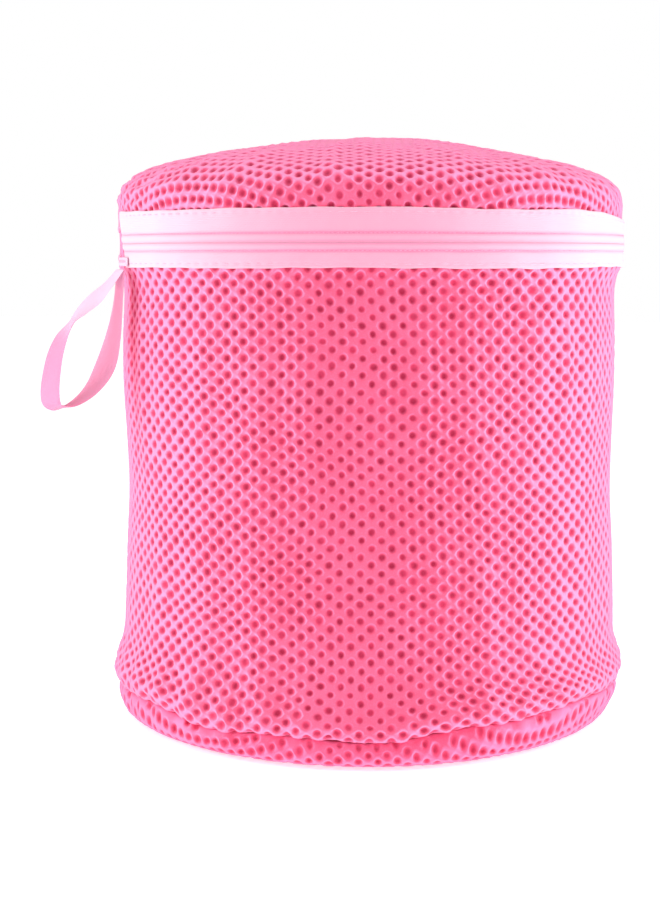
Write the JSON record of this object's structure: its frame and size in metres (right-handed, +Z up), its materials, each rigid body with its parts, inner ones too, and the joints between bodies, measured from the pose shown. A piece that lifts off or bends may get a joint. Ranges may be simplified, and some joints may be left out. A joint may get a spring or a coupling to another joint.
{
  "type": "zip-round mesh laundry wash bag",
  "caption": "Self-standing cylindrical wash bag of mesh fabric with a domed hinged lid, a zip round the rim and a ribbon hanging loop.",
  "frame": {"origin": "centre of the round base, on the surface it stands on", "axes": "+Z up through the lid, +Y towards the lid hinge, -Y is the mouth"},
  "size_m": [0.1544, 0.1594, 0.1695],
  "materials": {
    "mesh": "spacer mesh, satin sheen",
    "base_mesh": "spacer mesh, satin sheen",
    "tape": "woven",
    "coil": "nylon",
    "thread": "matte",
    "dark_thread": "matte",
    "slider_metal": "enamelled",
    "ribbon": "twill",
    "binding": "woven"
  },
  "bodies": {
    "bag": {"wall_panel": "mesh", "base_panel": "base_mesh", "zip_tape_lower": "tape", "zip_coil_lower": "coil", "coil_stitching_lower": "dark_thread", "tape_stitching_lower": "thread", "zip_bottom_stop": "coil", "zip_top_stop_lower": "coil", "wall_rim_binding": "binding", "base_seam_binding": "binding", "side_seam_binding": "binding", "base_seam_stitching": "thread", "side_seam_stitching": "thread", "hinge_stitching_lower": "thread", "loop_anchor": "ribbon", "loop_bartack": "thread", "hinge_gusset": "mesh"},
    "lid": {"lid_panel": "mesh", "zip_tape_upper": "tape", "zip_coil_upper": "coil", "coil_stitching_upper": "dark_thread", "tape_stitching_upper": "thread", "zip_top_stop_upper": "coil", "lid_rim_binding": "binding", "hinge_stitching_upper": "thread"},
    "slider": {"zip_slider": "slider_metal"},
    "pull": {"zip_pull": "slider_metal"},
    "loop": {"hanging_loop": "ribbon"}
  },
  "joints": [
    {"name": "lid_hinge", "type": "hinge", "parent": "bag", "child": "lid", "pos_m": [0, 0.0758, 0.1385], "axis": [-1, 0, 0], "range_deg": [0, 175], "deforming": ["hinge_gusset"]},
    {"name": "slider_travel", "type": "hinge", "parent": "bag", "child": "slider", "pos_m": [0, 0, 0.1385], "axis": [0, 0, -1], "range_deg": [0, 269]},
    {"name": "pull_flip", "type": "hinge", "parent": "slider", "child": "pull", "pos_m": [0.04752, 0.06148, 0.1386], "axis": [0, 0, -1], "range_deg": [0, 170]},
    {"name": "loop_swing", "type": "hinge", "parent": "bag", "child": "loop", "pos_m": [-0.04359, 0.06226, 0.131], "axis": [0.8192, 0.5736, 0], "range_deg": [0, 120]}
  ]
}
